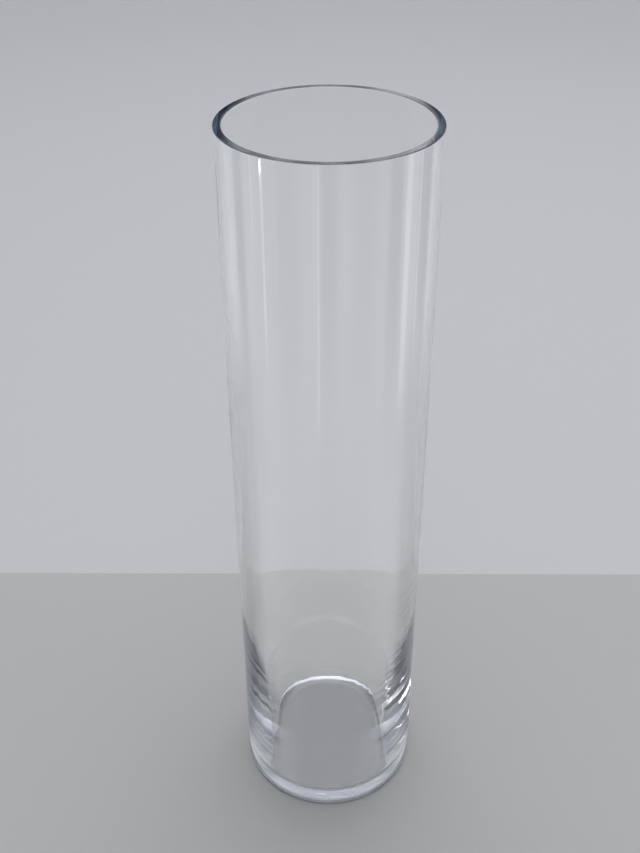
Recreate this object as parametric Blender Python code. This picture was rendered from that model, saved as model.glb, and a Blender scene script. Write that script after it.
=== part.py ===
"""Glass cylinder vase: a tall, straight-sided vessel of clear soda-lime glass, blown and worked in one piece.

The outside is a true cylinder on a flat foot. The bore is parallel over its upper two thirds. Below that the wall
thickens smoothly towards the foot, and the bore turns through a tight corner into a thin, nearly flat floor. The
mouth is cut flat and its two edges are lightly fire-polished. The origin is the centre of the foot, with +Z up the
axis of the vessel.

Units are metres.
"""

import math

import bmesh
import bpy

# ---- driving dimensions -------------------------------------------------------------------------------------------
OUTER_DIAMETER = 0.1000  # outside of the straight wall
HEIGHT = 0.4000  # foot to rim
RIM_WALL = 0.0037  # thickness of the wall at the mouth and down the parallel bore
RIM_EDGE_RADIUS = 0.0005  # fire-polished edges of the mouth, outside and inside
FOOT_EDGE_RADIUS = 0.0030  # rounded corner between the wall and the foot
BASE_THICKNESS = 0.0039  # glass under the edge of the floor
FLOOR_DIP = 0.0005  # how much lower the middle of the floor lies
BASE_WALL = 0.0097  # thickness that the wall runs out to at the level of the foot
THICKENING_HEIGHT = 0.1200  # level at which the wall starts to thicken
THICKENING_POWER = 1.64  # how gently it starts: 1 starts at once, and more starts more slowly
CORNER_WIDTH = 0.0059  # corner between the bore and the floor, across
CORNER_HEIGHT = 0.0070  # and up the bore
CORNER_SQUARENESS = 1.75  # exponent of the corner's curve: 2 is a quarter ellipse, and less is flatter

SEGMENTS = 96  # round the axis
EDGE_STEPS = 4  # along each rounded edge
CORNER_STEPS = 8  # along the inner corner
THICKENING_STEPS = 12  # along the thickening part of the bore
WALL_STEPS = 6  # along the straight outside
BORE_STEPS = 4  # along the parallel part of the bore

GLASS_COLOUR = (0.90, 0.94, 0.95, 1.0)
GLASS_ROUGHNESS = 0.02
GLASS_IOR = 1.52


def arc(centre_r, centre_z, radius, start_deg, end_deg, steps):
    """Points of a circular arc in the (r, z) half plane, both ends included."""
    points = []
    for i in range(steps + 1):
        a = math.radians(start_deg + (end_deg - start_deg) * i / steps)
        points.append((centre_r + radius * math.cos(a), centre_z + radius * math.sin(a)))
    return points


def line(a, b, steps):
    """Points between a and b, both ends left out."""
    return [
        (a[0] + (b[0] - a[0]) * i / steps, a[1] + (b[1] - a[1]) * i / steps)
        for i in range(1, steps)
    ]


def wall_at(z):
    """Thickness of the wall at a level."""
    if z >= THICKENING_HEIGHT:
        return RIM_WALL
    rise = math.sin(0.5 * math.pi * (1.0 - z / THICKENING_HEIGHT)) ** THICKENING_POWER
    return RIM_WALL + (BASE_WALL - RIM_WALL) * rise


def bore_below(top_z, bottom_z, steps):
    """The bore where the wall thickens, from the parallel part down to the corner, both ends included."""
    points = []
    for i in range(steps + 1):
        z = top_z + (bottom_z - top_z) * i / steps
        points.append((OUTER_DIAMETER / 2 - wall_at(z), z))
    return points


def corner(start, width, height, squareness, steps):
    """The curve from the end of the bore round to the floor, its first point left out."""
    slope = (wall_at(start[1] - 0.0005) - wall_at(start[1] + 0.0005)) / 0.001
    points = []
    for i in range(1, steps + 1):
        a = 0.5 * math.pi * i / steps
        across = math.cos(a) ** (2.0 / squareness) if i < steps else 0.0
        down = math.sin(a) ** (2.0 / squareness)
        points.append((start[0] - width * (1.0 - across) - 0.5 * slope * height * down, start[1] - height * down))
    return points


def vessel_profile():
    """The closed section of the glass, from the middle of the foot, up the outside, over the rim and down the bore."""
    outer = OUTER_DIAMETER / 2
    inner = outer - RIM_WALL
    fr, rr = FOOT_EDGE_RADIUS, RIM_EDGE_RADIUS
    foot = arc(outer - fr, fr, fr, -90.0, 0.0, EDGE_STEPS)
    rim_outside = arc(outer - rr, HEIGHT - rr, rr, 0.0, 90.0, EDGE_STEPS)
    rim_inside = arc(inner + rr, HEIGHT - rr, rr, 90.0, 180.0, EDGE_STEPS)
    thickening = bore_below(THICKENING_HEIGHT, BASE_THICKNESS + CORNER_HEIGHT, THICKENING_STEPS)
    points = [(0.0, 0.0)]
    points += foot
    points += line(foot[-1], rim_outside[0], WALL_STEPS)
    points += rim_outside
    points += rim_inside
    points += line(rim_inside[-1], thickening[0], BORE_STEPS)
    points += thickening
    points += corner(thickening[-1], CORNER_WIDTH, CORNER_HEIGHT, CORNER_SQUARENESS, CORNER_STEPS)
    points += [(0.5 * points[-1][0], BASE_THICKNESS - 0.5625 * FLOOR_DIP), (0.0, BASE_THICKNESS - FLOOR_DIP)]
    return points


def turned_mesh(name, profile, segments):
    """Turns a profile, whose two ends lie on the axis, round +Z into one closed mesh."""
    mesh = bpy.data.meshes.new(name)
    bm = bmesh.new()
    rings = []
    for r, z in profile:
        if r < 1e-9:
            rings.append([bm.verts.new((0.0, 0.0, z))])
            continue
        rings.append(
            [
                bm.verts.new(
                    (
                        r * math.cos(2 * math.pi * k / segments),
                        r * math.sin(2 * math.pi * k / segments),
                        z,
                    )
                )
                for k in range(segments)
            ]
        )
    for lower, upper in zip(rings, rings[1:]):
        for k in range(segments):
            n = (k + 1) % segments
            if len(lower) == 1:
                bm.faces.new((lower[0], upper[n], upper[k]))
            elif len(upper) == 1:
                bm.faces.new((lower[k], lower[n], upper[0]))
            else:
                bm.faces.new((lower[k], lower[n], upper[n], upper[k]))
    bmesh.ops.recalc_face_normals(bm, faces=bm.faces)
    bm.to_mesh(mesh)
    bm.free()
    mesh.shade_smooth()
    mesh.set_sharp_from_angle(angle=math.radians(40.0))
    return mesh


def clear_glass():
    material = bpy.data.materials.new("clear_glass")
    material.use_nodes = True
    shader = material.node_tree.nodes["Principled BSDF"]
    shader.inputs["Base Color"].default_value = GLASS_COLOUR
    shader.inputs["Roughness"].default_value = GLASS_ROUGHNESS
    shader.inputs["Metallic"].default_value = 0.0
    shader.inputs["IOR"].default_value = GLASS_IOR
    shader.inputs["Transmission Weight"].default_value = 1.0
    return material


def main():
    for old in list(bpy.data.objects):
        bpy.data.objects.remove(old, do_unlink=True)

    mesh = turned_mesh("glass_cylinder", vessel_profile(), SEGMENTS)
    mesh.materials.append(clear_glass())
    vessel = bpy.data.objects.new("glass_cylinder", mesh)
    vessel.location = (0.0, 0.0, 0.0)
    bpy.context.scene.collection.objects.link(vessel)


main()
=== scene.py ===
"""Looks of the glass cylinder vase: the blown glass body with its fire-polished rim, its slightly wavy wall that
thickens towards the foot, and its faint surface marks.

The vase is one piece of glass, so it is one turned and displaced mesh with one clear glass material, which
stands for the CAD node glass_cylinder. Everything after that is the stage: floor, backdrop, light and camera.
"""

import math

import bmesh
import bpy
import numpy as np
from mathutils import Matrix, Vector


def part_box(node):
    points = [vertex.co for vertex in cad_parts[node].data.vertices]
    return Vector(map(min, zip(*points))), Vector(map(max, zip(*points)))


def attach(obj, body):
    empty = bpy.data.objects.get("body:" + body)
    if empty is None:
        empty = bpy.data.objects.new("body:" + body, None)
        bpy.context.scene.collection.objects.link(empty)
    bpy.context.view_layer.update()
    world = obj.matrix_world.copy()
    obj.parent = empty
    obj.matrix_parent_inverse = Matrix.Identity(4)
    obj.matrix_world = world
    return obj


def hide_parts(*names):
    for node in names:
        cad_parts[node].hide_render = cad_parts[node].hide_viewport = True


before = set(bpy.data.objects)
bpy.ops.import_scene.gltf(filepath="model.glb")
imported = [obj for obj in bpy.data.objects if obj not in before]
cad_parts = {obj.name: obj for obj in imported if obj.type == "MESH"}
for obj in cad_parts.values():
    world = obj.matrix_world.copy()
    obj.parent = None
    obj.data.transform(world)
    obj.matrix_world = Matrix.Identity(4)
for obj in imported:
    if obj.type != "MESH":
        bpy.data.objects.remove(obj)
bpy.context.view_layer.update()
LOW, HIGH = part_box("glass_cylinder")

# ---- the vessel's sizes, in metres: the outside from the frame, the section as in the CAD part --------------------
RADIUS = (HIGH.x - LOW.x) / 2
HEIGHT = HIGH.z - LOW.z
RIM_WALL = 0.0037
RIM_EDGE = 0.0005
FOOT_EDGE = 0.0030
FLOOR_Z = 0.0039
FLOOR_DIP = 0.0005
CORNER_WIDTH = 0.0059
CORNER = 0.0070
CORNER_SQUARENESS = 1.75
BASE_WALL = 0.0097
THICKENING_HEIGHT = 0.1200
THICKENING_POWER = 1.64

SEGMENTS = 280
CORNER_STEPS = 44


def wall(z):
    """Thickness of the wall at a level."""
    if z >= THICKENING_HEIGHT:
        return RIM_WALL
    rise = math.sin(0.5 * math.pi * (1 - z / THICKENING_HEIGHT)) ** THICKENING_POWER
    return RIM_WALL + (BASE_WALL - RIM_WALL) * rise


def levels(low, high, step):
    """Levels from low to high, both left out, about step apart, with a support ring close to each end so that the
    shading of the rounded edges doesn't run into the straight wall."""
    n = max(1, round((high - low) / step))
    out = [low + (high - low) * i / n for i in range(1, n)]
    return [low + 0.00008] + out + [high - 0.00008]


def section():
    """The glass section as (r, z, side) from the middle of the foot, up the outside, over the rim, down the bore."""
    out = [(0.0, 0.0, "foot")]
    for s in (0.2, 0.4, 0.6, 0.75, 0.87, 0.95, 0.995):
        out.append((s * (RADIUS - FOOT_EDGE), 0.0, "foot"))
    for i in range(17):
        a = math.radians(-90 + 90 * i / 16)
        out.append((RADIUS - FOOT_EDGE + FOOT_EDGE * math.cos(a), FOOT_EDGE + FOOT_EDGE * math.sin(a), "edge"))
    for z in levels(FOOT_EDGE, HEIGHT - RIM_EDGE, 0.006):
        out.append((RADIUS, z, "outside"))
    for i in range(13):
        a = math.radians(90 * i / 12)
        out.append((RADIUS - RIM_EDGE + RIM_EDGE * math.cos(a), HEIGHT - RIM_EDGE + RIM_EDGE * math.sin(a), "rim"))
    inner = RADIUS - RIM_WALL
    out.append((RADIUS - RIM_WALL / 2, HEIGHT, "rim"))
    for i in range(13):
        a = math.radians(90 + 90 * i / 12)
        out.append((inner + RIM_EDGE + RIM_EDGE * math.cos(a), HEIGHT - RIM_EDGE + RIM_EDGE * math.sin(a), "rim"))
    bottom = FLOOR_Z + CORNER
    upper = levels(THICKENING_HEIGHT + 0.03, HEIGHT - RIM_EDGE, 0.006)[1:]
    lower = levels(bottom, THICKENING_HEIGHT + 0.03, 0.0011)
    for z in reversed(lower + upper):
        out.append((RADIUS - wall(z), z, "bore"))
    rc = RADIUS - wall(bottom)
    slope = (wall(bottom - 5e-4) - wall(bottom + 5e-4)) / 1e-3
    fine = []
    for i in range(801):
        a = 0.5 * math.pi * i / 800
        c = math.cos(a) ** (2 / CORNER_SQUARENESS) if i < 800 else 0.0
        s = math.sin(a) ** (2 / CORNER_SQUARENESS)
        fine.append((rc - CORNER_WIDTH * (1 - c) - 0.5 * slope * CORNER * s, FLOOR_Z + CORNER * (1 - s)))
    fine = np.array(fine)
    step = np.diff(fine, axis=0)
    bend = np.abs(np.diff(np.unwrap(np.arctan2(step[:, 1], step[:, 0]))))
    weight = np.hypot(step[:, 0], step[:, 1]) / 0.0102 + 2.2 * np.concatenate([[0.0], bend]) / (0.5 * math.pi)
    travel = np.concatenate([[0.0], np.cumsum(weight)])
    places = np.linspace(0, travel[-1], CORNER_STEPS + 1)
    for r, z in zip(np.interp(places, travel, fine[:, 0]), np.interp(places, travel, fine[:, 1])):
        out.append((float(r), float(z), "corner"))
    rf = out[-1][0]
    for i in range(1, 17):
        s = 1 - i / 16
        out.append((rf * s, FLOOR_Z - FLOOR_DIP * (1 - s * s) ** 2, "floor"))
    return out


# ---- unevenness of hand-worked glass -------------------------------------------------------------------------------
rng = np.random.default_rng(20)


def waves(count, turns, per_metre, size):
    """Smooth wave sets over the wall: how many times round, how many per metre of height, phase and size of each."""
    return [
        (int(rng.integers(turns[0], turns[1] + 1)), rng.uniform(*per_metre) * rng.choice([-1, 1]), rng.uniform(0, 2 * math.pi), size * rng.uniform(0.5, 1.0))
        for _ in range(count)
    ]


BORE_SWELL = waves(7, (1, 5), (8, 24), 0.000020)  # slow thick and thin places of the bore
BORE_DRAW = waves(16, (9, 46), (0.0, 2.2), 0.0000035)  # faint upright draw lines
OUTSIDE_SWELL = waves(6, (1, 4), (6, 18), 0.000006)
OUTSIDE_DRAW = waves(12, (7, 34), (0.0, 1.6), 0.0000025)
RIPPLE = waves(5, (0, 3), (120, 190), 0.0000105)  # close ripples where the wall thickens
FLOOR_SWELL = waves(5, (1, 4), (20, 60), 0.000035)


def total(sets, a, z):
    return sum(size * math.cos(turns * a + 2 * math.pi * rate * z + phase) for turns, rate, phase, size in sets)


def smooth(x, low, high):
    t = min(1.0, max(0.0, (x - low) / (high - low)))
    return t * t * (3 - 2 * t)


RIPPLE_SIDE = math.radians(-12)  # the side on which the ripples are strongest


def shift(side, r, z, a):
    """Outward and upward shift of a point of the surface."""
    if side == "outside":
        hold = smooth(z, 0.003, 0.02) * (1 - smooth(z, HEIGHT - 0.02, HEIGHT - 0.0015))
        return hold * (total(OUTSIDE_SWELL, a, z) + total(OUTSIDE_DRAW, a, z)) - 0.00004 * hold, 0.0
    if side == "bore":
        hold = smooth(z, FLOOR_Z + CORNER, FLOOR_Z + CORNER + 0.015) * (1 - smooth(z, HEIGHT - 0.02, HEIGHT - 0.0015))
        band = smooth(z, 0.045, 0.085) * (1 - smooth(z, 0.130, 0.175))
        facing = 0.03 + 0.97 * (0.5 + 0.5 * math.cos(a - RIPPLE_SIDE)) ** 7
        return hold * (total(BORE_SWELL, a, z) + total(BORE_DRAW, a, z) + band * facing * total(RIPPLE, a, z)), 0.0
    if side == "floor":
        hold = 1 - smooth(r, 0.024, 0.030)
        return 0.0, hold * total(FLOOR_SWELL, a, r)
    return 0.0, 0.0


def build_vessel():
    pts = section()
    mesh = bpy.data.meshes.new("vase_glass")
    bm = bmesh.new()
    rings = []
    for r, z, side in pts:
        if r < 1e-9:
            rings.append([bm.verts.new((0.0, 0.0, z))])
            continue
        ring = []
        for k in range(SEGMENTS):
            a = 2 * math.pi * k / SEGMENTS
            dr, dz = shift(side, r, z, a)
            ring.append(bm.verts.new(((r + dr) * math.cos(a), (r + dr) * math.sin(a), z + dz)))
        rings.append(ring)
    for lower, upper in zip(rings, rings[1:]):
        for k in range(SEGMENTS):
            n = (k + 1) % SEGMENTS
            if len(lower) == 1:
                bm.faces.new((lower[0], upper[n], upper[k]))
            elif len(upper) == 1:
                bm.faces.new((lower[k], lower[n], upper[0]))
            else:
                bm.faces.new((lower[k], lower[n], upper[n], upper[k]))
    bmesh.ops.recalc_face_normals(bm, faces=bm.faces)
    bm.to_mesh(mesh)
    bm.free()
    mesh.shade_smooth()
    obj = bpy.data.objects.new("vase_glass", mesh)
    bpy.context.scene.collection.objects.link(obj)
    return obj


# ---- glass ---------------------------------------------------------------------------------------------------------
def node(nt, kind, **inputs):
    n = nt.nodes.new(kind)
    for key, value in inputs.items():
        n.inputs[key.replace("_", " ")].default_value = value
    return n


def glass_material():
    """Clear glass with faint greasy smudges, dried water marks low in the bore, a rubbed foot ring, specks of dust and
    the slight orange-peel of fire-polished glass."""
    mat = bpy.data.materials.new("vase_clear_glass")
    mat.use_nodes = True
    nt = mat.node_tree
    p = nt.nodes["Principled BSDF"]
    p.inputs["Base Color"].default_value = (1.0, 1.0, 1.0, 1)
    p.inputs["IOR"].default_value = 1.52
    p.inputs["Transmission Weight"].default_value = 1.0
    vol = nt.nodes.new("ShaderNodeVolumeAbsorption")
    vol.inputs["Color"].default_value = (0.60, 0.68, 0.79, 1)
    vol.inputs["Density"].default_value = 2.8
    nt.links.new(vol.outputs["Volume"], nt.nodes["Material Output"].inputs["Volume"])

    place = nt.nodes.new("ShaderNodeTexCoord").outputs["Object"]
    split = nt.nodes.new("ShaderNodeSeparateXYZ")
    nt.links.new(place, split.inputs[0])

    def mixed(op, a, b):
        n = nt.nodes.new("ShaderNodeMath")
        n.operation = op
        for socket, value in zip(n.inputs, (a, b)):
            if hasattr(value, "links"):
                nt.links.new(value, socket)
            else:
                socket.default_value = value
        return n.outputs[0]

    def ranged(value, low, high, start=0.0, end=1.0):
        n = nt.nodes.new("ShaderNodeMapRange")
        n.interpolation_type = "SMOOTHSTEP"
        nt.links.new(value, n.inputs["Value"])
        for key, number in (("From Min", low), ("From Max", high), ("To Min", start), ("To Max", end)):
            n.inputs[key].default_value = number
        return n.outputs["Result"]

    def stretched(along):
        n = nt.nodes.new("ShaderNodeMapping")
        nt.links.new(place, n.inputs["Vector"])
        n.inputs["Scale"].default_value = along
        return n.outputs["Vector"]

    def noise(vector, scale, detail, rough=0.5):
        n = nt.nodes.new("ShaderNodeTexNoise")
        nt.links.new(vector, n.inputs["Vector"])
        for key, number in (("Scale", scale), ("Detail", detail), ("Roughness", rough)):
            n.inputs[key].default_value = number
        return n.outputs["Fac"]

    def cells(scale, feature="F1"):
        n = nt.nodes.new("ShaderNodeTexVoronoi")
        n.feature = feature
        nt.links.new(place, n.inputs["Vector"])
        n.inputs["Scale"].default_value = scale
        return n

    radius = mixed("SQRT", mixed("ADD", mixed("MULTIPLY", split.outputs["X"], split.outputs["X"]), mixed("MULTIPLY", split.outputs["Y"], split.outputs["Y"])), 0.0)
    level = split.outputs["Z"]
    # hand smudges: broad soft patches, broken up by fine streaks
    patches = ranged(noise(stretched((1, 1, 0.7)), 26, 3, 0.6), 0.56, 0.70)
    streaks = ranged(noise(stretched((3.0, 3.0, 1.0)), 190, 4, 0.65), 0.42, 0.62)
    smudge = mixed("MULTIPLY", mixed("MULTIPLY", patches, streaks), SMUDGE)
    # water marks: thin rings left by drops, thin out going up the bore
    drops = cells(95)
    ring = mixed("MULTIPLY", ranged(drops.outputs["Distance"], 0.16, 0.20), ranged(drops.outputs["Distance"], 0.26, 0.21))
    thin = mixed("MULTIPLY", ranged(noise(place, 60, 2), 0.55, 0.66), mixed("MULTIPLY", ranged(level, 0.19, 0.03), ranged(radius, 0.0480, 0.0468)))
    marks = mixed("MULTIPLY", mixed("MULTIPLY", ring, thin), WATER_MARK)
    # the foot ring is rubbed by every surface it has stood on
    rubbed = mixed("MULTIPLY", ranged(level, 0.0011, 0.0002), ranged(radius, 0.040, 0.0455))
    scuff = mixed("MULTIPLY", mixed("MULTIPLY", rubbed, ranged(noise(stretched((1, 1, 1)), 900, 4, 0.7), 0.40, 0.66)), FOOT_SCUFF)
    # a few specks of dust
    dust = mixed("MULTIPLY", ranged(cells(420).outputs["Distance"], 0.075, 0.04), ranged(noise(place, 45, 2), 0.58, 0.66))
    total_rough = mixed("ADD", mixed("ADD", smudge, marks), mixed("ADD", scuff, mixed("MULTIPLY", dust, 0.25)))
    nt.links.new(total_rough, p.inputs["Roughness"])

    # orange-peel, upright draw lines and the raised edge of the scuffs
    peel = mixed("MULTIPLY", noise(place, 130, 2), 1.0)
    draw = mixed("MULTIPLY", noise(stretched((1, 1, 0.03)), 300, 2), 0.35)
    scratch = mixed("MULTIPLY", mixed("MULTIPLY", rubbed, noise(place, 1500, 3)), 2.0)
    bumps = nt.nodes.new("ShaderNodeBump")
    bumps.inputs["Strength"].default_value = 1.0
    bumps.inputs["Distance"].default_value = PEEL_HEIGHT
    nt.links.new(mixed("ADD", mixed("ADD", peel, draw), scratch), bumps.inputs["Height"])
    nt.links.new(bumps.outputs["Normal"], p.inputs["Normal"])
    return mat


SMUDGE, WATER_MARK, FOOT_SCUFF = 0.055, 0.10, 0.30  # greatest roughness of each kind of mark
PEEL_HEIGHT = 0.0000045
vase = build_vessel()
vase.data.materials.append(glass_material())
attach(vase, "root")
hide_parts("glass_cylinder")


# ---- stage ---------------------------------------------------------------------------------------------------------
JOIN_Y = 3.06 * RADIUS
DOWN = -0.0003
BACK_RADIUS, BACK_CURVE, BACK_HEIGHT = 2.6, 0.9, 1.9


def set_up(mesh, name, mat, smooth_shade=True):
    if smooth_shade:
        mesh.shade_smooth()
    obj = bpy.data.objects.new(name, mesh)
    mesh.materials.append(mat)
    bpy.context.scene.collection.objects.link(obj)
    return obj


def paint(name, low, start=0.05, end=0.65):
    """Matt paint that goes from its pale tone on the floor to a grey one up on the walls, darker at the two sides."""
    mat = bpy.data.materials.new(name)
    mat.use_nodes = True
    nt = mat.node_tree
    p = nt.nodes["Principled BSDF"]
    p.inputs["Roughness"].default_value = 0.9
    p.inputs["Specular IOR Level"].default_value = 0.0
    place = nt.nodes.new("ShaderNodeNewGeometry")
    split = nt.nodes.new("ShaderNodeSeparateXYZ")
    nt.links.new(place.outputs["Position"], split.inputs[0])

    def combined(op, a, b):
        n = nt.nodes.new("ShaderNodeMath")
        n.operation = op
        nt.links.new(a, n.inputs[0])
        nt.links.new(b, n.inputs[1])
        return n.outputs[0]

    def smoothed(value, low_end, high_end):
        n = nt.nodes.new("ShaderNodeMapRange")
        n.interpolation_type = "SMOOTHSTEP"
        n.inputs["From Min"].default_value = low_end
        n.inputs["From Max"].default_value = high_end
        nt.links.new(value, n.inputs["Value"])
        return n.outputs["Result"]

    def blended(factor, a, b):
        n = nt.nodes.new("ShaderNodeMix")
        n.data_type = "RGBA"
        nt.links.new(factor, n.inputs["Factor"])
        for key, value in (("A", a), ("B", b)):
            if hasattr(value, "links"):
                nt.links.new(value, n.inputs[key])
            else:
                n.inputs[key].default_value = (*value, 1)
        return n.outputs["Result"]

    xx = combined("MULTIPLY", split.outputs["X"], split.outputs["X"])
    yy = combined("MULTIPLY", split.outputs["Y"], split.outputs["Y"])
    sideways = smoothed(combined("DIVIDE", xx, combined("ADD", xx, yy)), 0.50, 0.92)
    wall_tone = blended(sideways, FAR_WALL_TONE, SIDE_WALL_TONE)
    nt.links.new(blended(smoothed(split.outputs["Z"], start, end), low, wall_tone), p.inputs["Base Color"])
    return mat


FAR_WALL_TONE = (0.40, 0.42, 0.45)
SIDE_WALL_TONE = (0.140, 0.150, 0.165)


def ring_mesh(name, profile, around):
    """Turned sheet from (r, z) places; a place at r = 0 is its middle."""
    bm = bmesh.new()
    rings = []
    for r, z in profile:
        if r == 0:
            rings.append([bm.verts.new((0, 0, z))])
        else:
            rings.append([bm.verts.new((r * math.sin(2 * math.pi * k / around), -r * math.cos(2 * math.pi * k / around), z)) for k in range(around)])
    for lo, hi in zip(rings, rings[1:]):
        for k in range(around):
            n = (k + 1) % around
            bm.faces.new((lo[0], hi[k], hi[n]) if len(lo) == 1 else (lo[k], hi[k], hi[n], lo[n]))
    return bm


def backdrop():
    """A pale floor that curves up into a wall all the way round, in two tones that meet at a straight line."""
    profile = [(r, DOWN) for r in (0.0, 0.4, 0.9, 1.3, 1.5, 1.6, 1.67, BACK_RADIUS - BACK_CURVE)]
    for i in range(1, 41):
        a = math.radians(90 * i / 40)
        profile.append((BACK_RADIUS - BACK_CURVE + BACK_CURVE * math.sin(a), DOWN + BACK_CURVE * (1 - math.cos(a))))
    profile.append((BACK_RADIUS, BACK_HEIGHT))
    for name, mat, front in (
        ("stage_counter", paint("stage_counter", COUNTER_TONE), True),
        ("stage_back", paint("stage_pale", BACK_TONE, 0.12, 0.75), False),
    ):
        bm = ring_mesh(name, profile, 96)
        bmesh.ops.bisect_plane(
            bm, geom=bm.verts[:] + bm.edges[:] + bm.faces[:], plane_co=(0, JOIN_Y, 0), plane_no=(0, 1, 0), clear_outer=front, clear_inner=not front
        )
        mesh = bpy.data.meshes.new(name)
        bm.to_mesh(mesh)
        bm.free()
        set_up(mesh, name, mat)


COUNTER_TONE = (0.755, 0.740, 0.705)
BACK_TONE = (0.900, 0.885, 0.865)
backdrop()


def direction(az, el):
    """Unit vector at a bearing (0 towards the front, positive to the right) and an elevation, in degrees."""
    a, e = math.radians(az), math.radians(el)
    return Vector((math.sin(a) * math.cos(e), -math.cos(a) * math.cos(e), math.sin(e)))


def glow(name, strength, colour=(1.0, 1.0, 1.0), attribute=None):
    mat = bpy.data.materials.new(name)
    mat.use_nodes = True
    nt = mat.node_tree
    nt.nodes.clear()
    e = nt.nodes.new("ShaderNodeEmission")
    out = nt.nodes.new("ShaderNodeOutputMaterial")
    e.inputs["Strength"].default_value = strength
    e.inputs["Color"].default_value = (*colour, 1)
    if attribute:
        a = nt.nodes.new("ShaderNodeAttribute")
        a.attribute_name = attribute
        nt.links.new(a.outputs["Color"], e.inputs["Color"])
    nt.links.new(e.outputs[0], out.inputs["Surface"])
    return mat


def hide(obj, *kinds):
    for kind in kinds:
        setattr(obj, "visible_" + kind, False)


def card(name, az, el, far, half_w, half_h, strength, colour):
    """Soft window: an upright rectangle of light that faces the vase."""
    c = direction(az, el) * far + Vector((0, 0, 0.05))
    across = Vector((math.cos(math.radians(az)), math.sin(math.radians(az)), 0.0)) * half_w
    up = Vector((0, 0, half_h))
    mesh = bpy.data.meshes.new(name)
    mesh.from_pydata([c - across - up, c + across - up, c + across + up, c - across + up], [], [(0, 1, 2, 3)])
    mesh.update()
    obj = set_up(mesh, name, glow(name, strength, colour), smooth_shade=False)
    hide(obj, "camera", "diffuse", "shadow")
    return obj


def bump(x, centre, half, soft):
    """1 inside centre +- half, falling smoothly to 0 over soft."""
    return 1 - smooth(abs(x - centre), half, half + soft)


def screen_level(az, far, z):
    """Brightness of the screens at a bearing, a distance and a height: a base level with gaps and upright strips."""
    level = SCREEN_BASE
    rise = smooth(z, 0.0, 0.20)
    for centre, half, soft, depth in SCREEN_GAPS:
        level *= 1 - depth * (0.25 + 0.75 * rise) * smooth(far, 0.15, 0.40) * bump((az - centre + 180) % 360 - 180, 0, half, soft)
    for centre, half, soft, low, high, amount in SCREEN_STRIPS:
        level += amount * bump((az - centre + 180) % 360 - 180, 0, half, soft) * smooth(z, low, high)
    for centre, half, soft, middle, tall, amount in SCREEN_SPOTS:
        level += amount * bump((az - centre + 180) % 360 - 180, 0, half, soft) * bump(z, middle, tall, tall)
    level = level * (1 - smooth(z, 0.27, 0.46)) + 0.34 * smooth(z, 0.27, 0.46)
    side = smooth(abs(az), 66, 100) * (1 - smooth(z, 0.02, 0.16))
    level = level * (1 - side) + 0.34 * side
    behind = smooth(abs(az), 112, 140)
    return level * (1 - behind) + (0.42 + 0.12 * smooth(z, 0.0, 0.1)) * behind


def glint_ring():
    """Pale screens round the vase, standing and lying, for its own reflections only: a soft base level, with narrow
    bright strips and darker gaps between the screens."""
    name = "stage_screens"
    profile = [(r, 0.0006) for r in (0.0525, 0.07, 0.10, 0.14, 0.18, 0.22, 0.26, 0.30, 0.34, 0.38)] + [
        (0.4, z) for z in [0.001 + i * 0.02 for i in range(12)] + [0.224 + i * 0.003 for i in range(14)] + [0.27 + i * 0.02 for i in range(12)]
    ]
    bm = ring_mesh(name, profile, 1440)
    mesh = bpy.data.meshes.new(name)
    bm.to_mesh(mesh)
    bm.free()
    colours = np.ones((len(mesh.vertices), 4), np.float32)
    for i, v in enumerate(mesh.vertices):
        level = screen_level(math.degrees(math.atan2(v.co.x, -v.co.y)), math.hypot(v.co.x, v.co.y), v.co.z)
        colours[i, :3] = (level * 0.98, level, level * 1.02)
    layer = mesh.color_attributes.new("glow", "FLOAT_COLOR", "POINT")
    layer.data.foreach_set("color", colours.ravel())
    obj = set_up(mesh, name, glow(name, 1.0, attribute="glow"), smooth_shade=False)
    hide(obj, "camera", "diffuse", "transmission", "shadow", "volume_scatter")


# bearing, half width, softness (degrees), how much darker
SCREEN_BASE = 1.35
SCREEN_GAPS = ((0, 3, 9, 0.75), (-97, 3, 7, 0.8), (66, 4, 7, 0.85), (106, 6, 9, 0.85), (-40, 4, 14, 0.4), (34, 5, 12, 0.35), (180, 30, 40, 0.3))
# bearing, half width, softness (degrees), levels between which it comes up, brightness
SCREEN_STRIPS = (
    (-66, 0.6, 1.3, 0.05, 0.14, 2.0),
    (-79, 0.3, 0.9, 0.16, 0.24, 1.4),
    (-52, 0.2, 0.9, 0.12, 0.20, 0.8),
    (-10, 0.4, 1.1, 0.00, 0.06, 1.6),
    (-14, 0.2, 1.0, 0.05, 0.20, 0.8),
    (15, 0.1, 0.8, 0.10, 0.20, 0.5),
    (82, 2.2, 2.2, 0.00, 0.06, 1.5),
    (98, 0.5, 1.1, 0.02, 0.06, 1.5),
)
# bearing, half width, softness (degrees), height, half height, brightness
SCREEN_SPOTS = ((-66.8, 0.9, 0.5, 0.2545, 0.004, 14.0), (-67.1, 0.3, 0.6, 0.245, 0.007, 2.5))
glint_ring()


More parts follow.
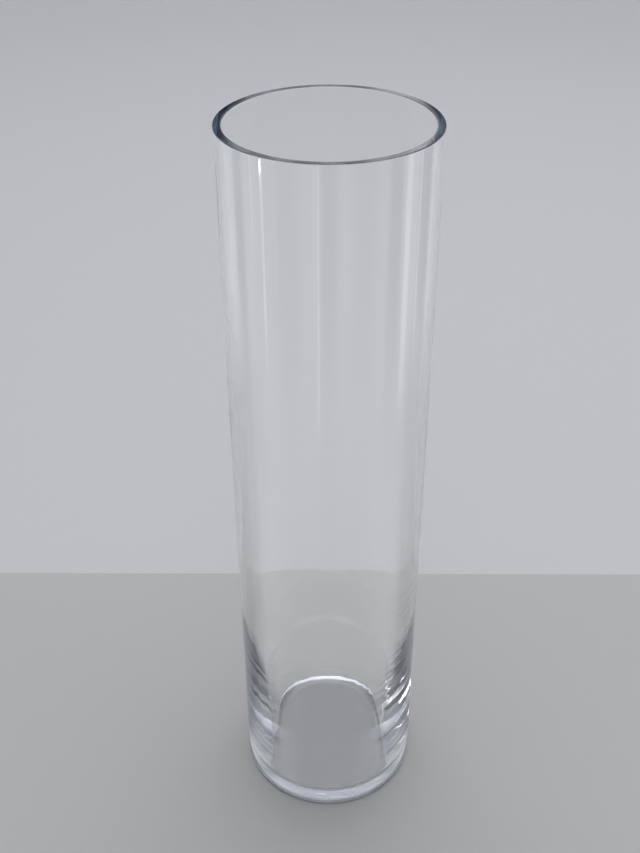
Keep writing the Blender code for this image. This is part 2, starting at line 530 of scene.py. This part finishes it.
def flag():
    """A small screen just above and behind the rim, for the glint of its flat top: pale in the middle, dark towards
    the two sides."""
    name = "stage_flag"
    across, rows = [-0.10 + 0.004 * i for i in range(51)], [0.02 * j for j in range(9)]
    points = [(x, 0.085 + t, 0.4085 + 0.75 * t) for t in rows for x in across]
    faces = [(j * 51 + i, j * 51 + i + 1, (j + 1) * 51 + i + 1, (j + 1) * 51 + i) for j in range(8) for i in range(50)]
    mesh = bpy.data.meshes.new(name)
    mesh.from_pydata(points, [], faces)
    mesh.update()
    layer = mesh.color_attributes.new("glow", "FLOAT_COLOR", "POINT")
    for i, (x, y, _) in enumerate(points):
        near = (y - 0.085) / 0.125  # 0 for the glint of the rim's far side, 1 for that of its near side
        at = x / (1.10 + 0.53 * near)  # the place across the rim whose glint falls here
        pale = 0.62 + 0.25 * smooth(near, 0.3, 0.9) + 0.75 * smooth(at, 0.012, 0.032)
        if at < 0:
            dark = smooth(-at, 0.030 + 0.007 * near, 0.043 + 0.004 * near)
        else:
            dark = smooth(at, 0.036 + 0.003 * near, 0.046 + 0.002 * near)
        layer.data[i].color = [pale * (1 - dark) + c * dark for c in (0.012, 0.030, 0.075)] + [1.0]
    obj = set_up(mesh, name, glow(name, 1.0, attribute="glow"), smooth_shade=False)
    hide(obj, "camera", "diffuse", "transmission", "shadow", "volume_scatter")


flag()


def painted_shadow_and_glow():
    """The floor under the vase, with painted shade and painted light: a painted shadow, darker towards the foot ring
    where little light gets in and far darker at the left and right than at the front and back, and a pale middle that
    glows faintly as painted light.
    """
    name = "stage_painted_shadow_and_glow"
    radii = (0.0, 0.015, 0.030, 0.036, 0.040, 0.043, 0.0455, 0.0470, 0.0482, 0.0487)
    bm = ring_mesh(name, [(r, -0.00016) for r in radii], 180)
    mesh = bpy.data.meshes.new(name)
    bm.to_mesh(mesh)
    bm.free()
    painted_shade_glow_colours = np.ones((len(mesh.vertices), 4), np.float32)
    for i, v in enumerate(mesh.vertices):
        r = math.hypot(v.co.x, v.co.y)
        # painted shadow: darkens towards the foot ring, fully at the left and right, only a quarter as much at the
        # front and back
        shade = smooth(r, 0.033, 0.0450) * (0.25 + 0.75 * smooth(abs(v.co.x) / max(r, 1e-9), 0.55, 0.90))
        painted_shade_glow_colours[i, :3] = [0.94 * (1 - shade) + c * shade for c in (0.012, 0.020, 0.040)]
    layer = mesh.color_attributes.new("tone", "FLOAT_COLOR", "POINT")
    layer.data.foreach_set("color", painted_shade_glow_colours.ravel())
    mat = paint(name, PAD_TONE)
    nt = mat.node_tree
    a = nt.nodes.new("ShaderNodeAttribute")
    a.attribute_name = "tone"
    p = nt.nodes["Principled BSDF"]
    nt.links.new(a.outputs["Color"], p.inputs["Base Color"])
    # painted light: the pad also glows faintly in its own colours
    nt.links.new(a.outputs["Color"], p.inputs["Emission Color"])
    p.inputs["Emission Strength"].default_value = 0.075
    set_up(mesh, name, mat)


PAD_TONE = (0.86, 0.86, 0.84)
painted_shadow_and_glow()

# bearing, elevation, distance, half width, half height, strength, colour
CARDS = (
    ("stage_window_left", -126, 23, 1.5, 0.17, 0.32, 5.0, (1.0, 1.0, 1.0)),
)
for entry in CARDS:
    card(*entry)


def key():
    """A large soft light overhead, for the matt floor only."""
    data = bpy.data.lights.new("stage_key", "AREA")
    data.shape, data.size, data.energy = "SQUARE", 1.8, 6.3
    obj = bpy.data.objects.new("stage_key", data)
    obj.location = (0.15, 0.5, 1.5)
    obj.rotation_euler = Vector((0.15, 0.0, 1.5)).to_track_quat("Z", "Y").to_euler()
    bpy.context.scene.collection.objects.link(obj)
    hide(obj, "camera", "glossy", "transmission")


key()


def studio():
    """An even pale sky, dimmer towards the two sides, with soft panels overhead and behind."""
    world = bpy.data.worlds.new("studio")
    bpy.context.scene.world = world
    world.use_nodes = True
    nt = world.node_tree
    coord = nt.nodes.new("ShaderNodeTexCoord")

    def link(a, b):
        nt.links.new(a, b)

    def math_node(op, a, b=None):
        n = nt.nodes.new("ShaderNodeMath")
        n.operation = op
        for socket, value in zip(n.inputs, (a, b)):
            if value is None:
                continue
            if hasattr(value, "links"):
                link(value, socket)
            else:
                socket.default_value = value
        return n.outputs[0]

    def dot(v):
        n = nt.nodes.new("ShaderNodeVectorMath")
        n.operation = "DOT_PRODUCT"
        link(coord.outputs["Generated"], n.inputs[0])
        n.inputs[1].default_value = v
        return n.outputs["Value"]

    def ramp(value, start, end):
        n = nt.nodes.new("ShaderNodeMapRange")
        n.interpolation_type = "SMOOTHSTEP"
        link(value, n.inputs["Value"])
        n.inputs["From Min"].default_value = start
        n.inputs["From Max"].default_value = end
        return n.outputs["Result"]

    def scaled(colour, factor):
        n = nt.nodes.new("ShaderNodeVectorMath")
        n.operation = "SCALE"
        n.inputs[0].default_value = colour
        if hasattr(factor, "links"):
            link(factor, n.inputs["Scale"])
        else:
            n.inputs["Scale"].default_value = factor
        return n.outputs["Vector"]

    def added(a, b):
        n = nt.nodes.new("ShaderNodeVectorMath")
        n.operation = "ADD"
        link(a, n.inputs[0])
        link(b, n.inputs[1])
        return n.outputs["Vector"]

    sky = scaled(SKY, 1.0)
    for az, el, half_w, half_h, soft, colour in SOFTBOXES:
        c = direction(az, el)
        r = Vector((math.cos(math.radians(az)), math.sin(math.radians(az)), 0.0))
        u = r.cross(c)
        if u.z < 0:
            u = -u
        ahead = math_node("MAXIMUM", dot(c), 0.001)
        x = math_node("ABSOLUTE", math_node("DIVIDE", dot(r), ahead))
        y = math_node("ABSOLUTE", math_node("DIVIDE", dot(u), ahead))
        mask = math_node("MULTIPLY", ramp(x, half_w * (1 + soft), half_w * (1 - soft)), ramp(y, half_h * (1 + soft), half_h * (1 - soft)))
        mask = math_node("MULTIPLY", mask, math_node("GREATER_THAN", dot(c), 0.01))
        sky = added(sky, scaled(colour, mask))
    link(sky, nt.nodes["Background"].inputs["Color"])
    nt.nodes["Background"].inputs["Strength"].default_value = 1.0


SKY = (0.72, 0.76, 0.84)
# bearing, elevation, half width and half height as tangents, softness of the edge, what it adds to the sky
SOFTBOXES = (
    (-75, 50, 0.90, 0.34, 0.5, (-0.58, -0.60, -0.64)),
    (75, 50, 0.90, 0.34, 0.5, (-0.58, -0.60, -0.64)),
    (180, 53, 0.60, 0.20, 0.5, (-0.34, -0.36, -0.39)),
    (180, 84, 0.40, 0.40, 0.6, (0.5, 0.5, 0.5)),
)
studio()

# ---- camera: level, distance and lens of the photograph's view -----------------------------------------------------
PITCH, YAW, ROLL = math.radians(34.86), math.radians(-0.555), math.radians(-0.238)
FOCAL_PX, LONG_SIDE_PX = 1096.996, 853
cam_data = bpy.data.cameras.new("photo_view")
cam = bpy.data.objects.new("photo_view", cam_data)
bpy.context.scene.collection.objects.link(cam)
cam_data.sensor_fit = "AUTO"
cam_data.sensor_width = 36.0
cam_data.lens = FOCAL_PX * 36.0 / LONG_SIDE_PX
cam_data.clip_start, cam_data.clip_end = 0.01, 50
fwd = Vector((math.sin(YAW) * math.cos(PITCH), math.cos(YAW) * math.cos(PITCH), -math.sin(PITCH)))
right = Vector((math.cos(YAW), -math.sin(YAW), 0.0))
up = right.cross(fwd)
right, up = right * math.cos(ROLL) + up * math.sin(ROLL), -right * math.sin(ROLL) + up * math.cos(ROLL)
m = Matrix.Identity(3)
m.col[0], m.col[1], m.col[2] = right, up, -fwd
cam.matrix_world = Matrix.Translation((0.0, -9.186 * RADIUS, 11.217 * RADIUS)) @ m.to_4x4()
bpy.context.scene.camera = cam
bpy.context.scene.view_settings.view_transform = "Standard"
cycles = bpy.context.scene.cycles
cycles.max_bounces = cycles.transmission_bounces = cycles.glossy_bounces = 128
